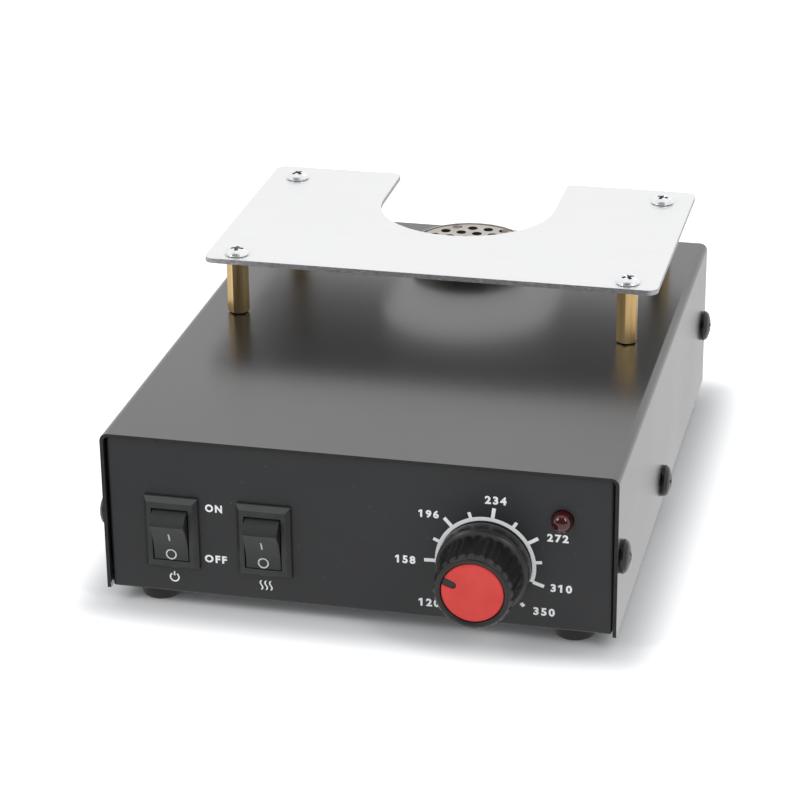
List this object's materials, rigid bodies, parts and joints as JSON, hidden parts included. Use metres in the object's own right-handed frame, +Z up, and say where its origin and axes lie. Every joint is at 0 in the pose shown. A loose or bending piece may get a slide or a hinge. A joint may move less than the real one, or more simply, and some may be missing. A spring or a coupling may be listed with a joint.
{
  "type": "pcb preheater",
  "caption": "Compact hot-air preheater for circuit boards: black steel case, perforated air outlet under a notched board plate on brass standoffs, rocker switches and a temperature knob.",
  "frame": {"origin": "on the table, under the centre of the whole object's outline seen from above", "axes": "+Z up; the front panel with the switches and the knob faces -Y; +X to the right as seen from the front"},
  "size_m": [0.1452, 0.1932, 0.0706],
  "materials": {
    "cover_paint": "satin black powder coat",
    "panel_paint": "matt charcoal print film on steel",
    "plate_metal": "bright satin",
    "brass": "turned brass",
    "bright_steel": "zinc-plated steel",
    "black_steel": "black zinc",
    "rubber": "matt black rubber",
    "switch_plastic": "matt black nylon",
    "knob_plastic": "satin black",
    "red_plastic": "satin red",
    "red_lens": "diffuse dark red, unlit",
    "pot_steel": "plain steel can",
    "ceramic": "unglazed cream ceramic",
    "barrel_steel": "heat-dulled steel",
    "mica": "mica sheet",
    "coil_wire": "resistance wire",
    "fan_plastic": "black plastic",
    "board_green": "green solder mask",
    "nylon": "natural nylon",
    "transformer_steel": "varnished laminations",
    "heatsink_metal": "extruded aluminium",
    "terminal_plastic": "green plastic",
    "lead_grey": "grey insulation"
  },
  "bodies": {
    "preheater": {"board_plate": "plate_metal", "board_spacer_front_left": "nylon", "board_spacer_front_right": "nylon", "board_spacer_rear_left": "nylon", "board_spacer_rear_right": "nylon", "chassis": "panel_paint", "control_board": "board_green", "cover_screw_left_front": "black_steel", "cover_screw_left_middle": "black_steel", "cover_screw_left_rear": "black_steel", "cover_screw_right_front": "black_steel", "cover_screw_right_middle": "black_steel", "cover_screw_right_rear": "black_steel", "fan_frame": "fan_plastic", "fan_lead": "lead_grey", "fan_screw_front_left": "black_steel", "fan_screw_front_right": "black_steel", "fan_screw_rear_left": "black_steel", "fan_screw_rear_right": "black_steel", "foot_front_left": "rubber", "foot_front_right": "rubber", "foot_rear_left": "rubber", "foot_rear_right": "rubber", "heater_barrel": "barrel_steel", "heater_coil": "coil_wire", "heater_core": "mica", "heater_lead": "lead_grey", "heater_switch_body": "switch_plastic", "indicator_led": "red_lens", "mains_inlet": "switch_plastic", "mains_lead": "lead_grey", "outlet_disc": "ceramic", "panel_lead": "lead_grey", "plate_screw_front_left": "bright_steel", "plate_screw_front_right": "bright_steel", "plate_screw_rear_left": "bright_steel", "plate_screw_rear_right": "bright_steel", "potentiometer_body": "pot_steel", "potentiometer_nut": "bright_steel", "power_switch_body": "switch_plastic", "standoff_front_left": "brass", "standoff_front_right": "brass", "standoff_nut_front_left": "bright_steel", "standoff_nut_front_right": "bright_steel", "standoff_nut_rear_left": "bright_steel", "standoff_nut_rear_right": "bright_steel", "standoff_rear_left": "brass", "standoff_rear_right": "brass", "terminal_block": "terminal_plastic", "top_cover": "cover_paint", "transformer": "transformer_steel", "triac_heatsink": "heatsink_metal"},
    "power_rocker": {"power_rocker": "switch_plastic"},
    "heater_rocker": {"heater_rocker": "switch_plastic"},
    "temperature_knob": {"temperature_knob": "knob_plastic", "knob_cap": "red_plastic", "potentiometer_shaft": "bright_steel"},
    "fan_rotor": {"fan_rotor": "fan_plastic"}
  },
  "joints": [
    {"name": "power_rocker_hinge", "type": "hinge", "parent": "preheater", "child": "power_rocker", "pos_m": [-0.051, -0.0783, 0.0231], "axis": [-1, 0, 0], "range_deg": [0, 36]},
    {"name": "heater_rocker_hinge", "type": "hinge", "parent": "preheater", "child": "heater_rocker", "pos_m": [-0.0253, -0.0783, 0.0231], "axis": [-1, 0, 0], "range_deg": [0, 36]},
    {"name": "knob_turn", "type": "hinge", "parent": "preheater", "child": "temperature_knob", "pos_m": [0.0348, -0.0791, 0.0224], "axis": [0, 1, 0], "range_deg": [-72, 208]},
    {"name": "fan_spin", "type": "hinge", "parent": "preheater", "child": "fan_rotor", "pos_m": [0, 0.0674, 0.0152], "axis": [0, 0, 1], "continuous": true}
  ]
}
